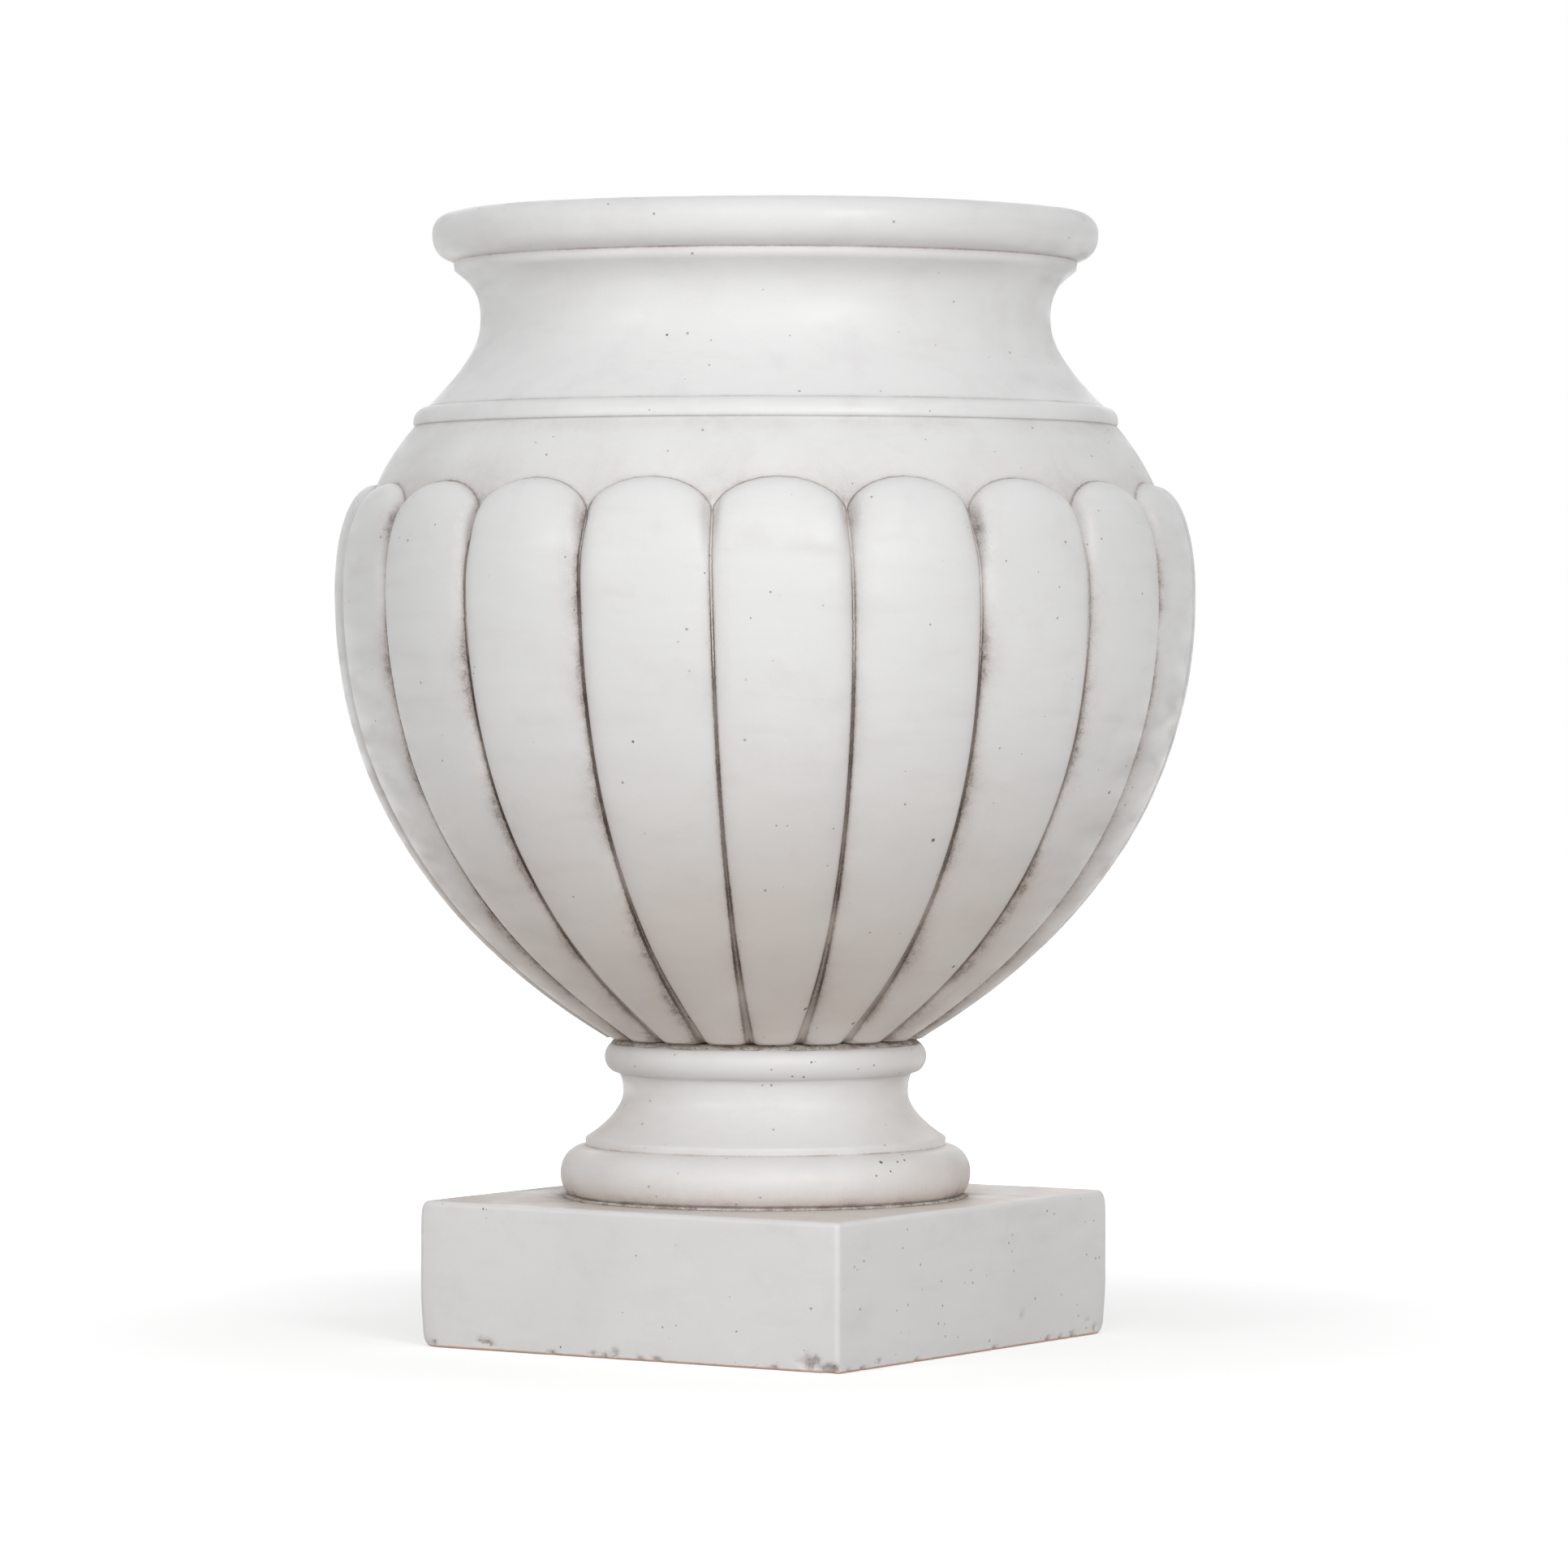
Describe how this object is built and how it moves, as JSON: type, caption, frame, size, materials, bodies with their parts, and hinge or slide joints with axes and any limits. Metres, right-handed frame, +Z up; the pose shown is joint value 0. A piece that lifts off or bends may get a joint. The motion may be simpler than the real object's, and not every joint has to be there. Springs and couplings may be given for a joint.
{
  "type": "urn planter",
  "caption": "Cast stone garden urn with a gadrooned bowl, turned foot and square plinth, hollow for planting, with a drain through the middle.",
  "frame": {"origin": "middle of the plinth's underside", "axes": "+Z up along the urn's turning axis, +X and +Y square to the plinth's sides, with a gadroon's crest facing +X"},
  "size_m": [0.525, 0.525, 0.686],
  "materials": {
    "cast_stone": "satin, lightly weathered, with a dark wash in the hollows",
    "bedding_mortar": "matt, gritty",
    "stainless_steel": "brushed",
    "seal_rubber": "matt",
    "plug_rubber": "matt, moulded"
  },
  "bodies": {
    "urn": {"bowl": "cast_stone", "socle": "cast_stone", "plinth": "cast_stone", "bowl_bedding_ring": "bedding_mortar", "socle_bedding_ring": "bedding_mortar", "bowl_dowels": "stainless_steel", "socle_dowels": "stainless_steel", "drain_tie_tube": "stainless_steel", "plinth_washer": "stainless_steel", "tie_nut": "stainless_steel", "jam_nut": "stainless_steel", "flange_gasket": "seal_rubber", "plinth_seal_washer": "seal_rubber"},
    "plug": {"drain_plug": "plug_rubber"}
  },
  "joints": [
    {"name": "drain_plug_lift", "type": "slide", "parent": "urn", "child": "plug", "axis": [0, 0, 1], "range_m": [0, 0.52]}
  ]
}
